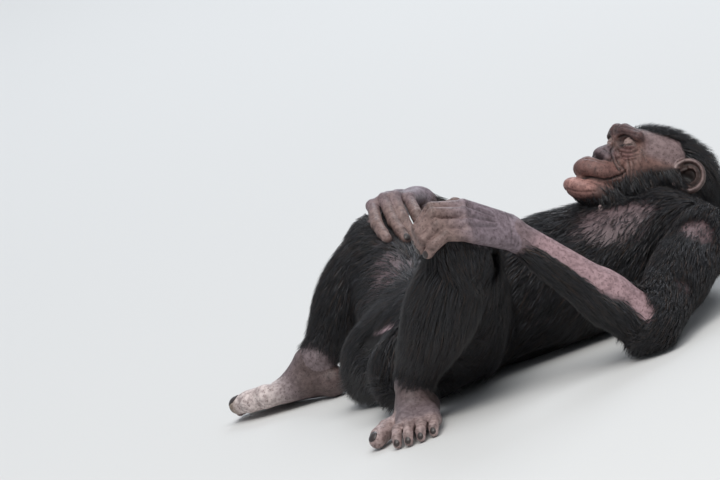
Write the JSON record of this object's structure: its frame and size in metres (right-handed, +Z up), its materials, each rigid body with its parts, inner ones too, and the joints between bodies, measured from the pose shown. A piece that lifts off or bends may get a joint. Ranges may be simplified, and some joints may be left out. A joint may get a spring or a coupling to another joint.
{
  "type": "chimpanzee",
  "caption": "Life-size adult chimpanzee lying on its back, knees drawn up and spread, a hand resting on each knee, head raised and eyes closed.",
  "frame": {"origin": "on the floor, at the middle of the flat under the seat", "axes": "+X from the seat towards the head, +Y towards the animal's own right side, +Z up from the floor"},
  "size_m": [0.8171, 0.8716, 0.3598],
  "materials": {
    "fur": "long black hair with a bluish sheen",
    "face": "bare skin, dull, with black hair on the crown and cheeks",
    "eyelid": "pale bare skin, slightly moist",
    "hand": "mottled bare skin, dull",
    "foot": "creased bare skin, dull"
  },
  "bodies": {
    "root": {"abdomen": "fur", "big_toe_left": "foot", "big_toe_right": "foot", "chest": "fur", "closed_eye_left": "eyelid", "closed_eye_right": "eyelid", "ear_left": "face", "ear_right": "face", "fifth_toe_left": "foot", "fifth_toe_right": "foot", "foot_left": "foot", "foot_right": "foot", "forearm_left": "fur", "forearm_right": "fur", "fourth_toe_left": "foot", "fourth_toe_right": "foot", "head": "face", "index_finger_left": "hand", "index_finger_right": "hand", "little_finger_left": "hand", "little_finger_right": "hand", "middle_finger_left": "hand", "middle_finger_right": "hand", "neck": "fur", "palm_left": "hand", "palm_right": "hand", "pelvis": "fur", "ring_finger_left": "hand", "ring_finger_right": "hand", "second_toe_left": "foot", "second_toe_right": "foot", "shank_left": "fur", "shank_right": "fur", "thigh_left": "fur", "thigh_right": "fur", "third_toe_left": "foot", "third_toe_right": "foot", "thumb_left": "hand", "thumb_right": "hand", "upper_arm_left": "fur", "upper_arm_right": "fur"}
  },
  "joints": []
}
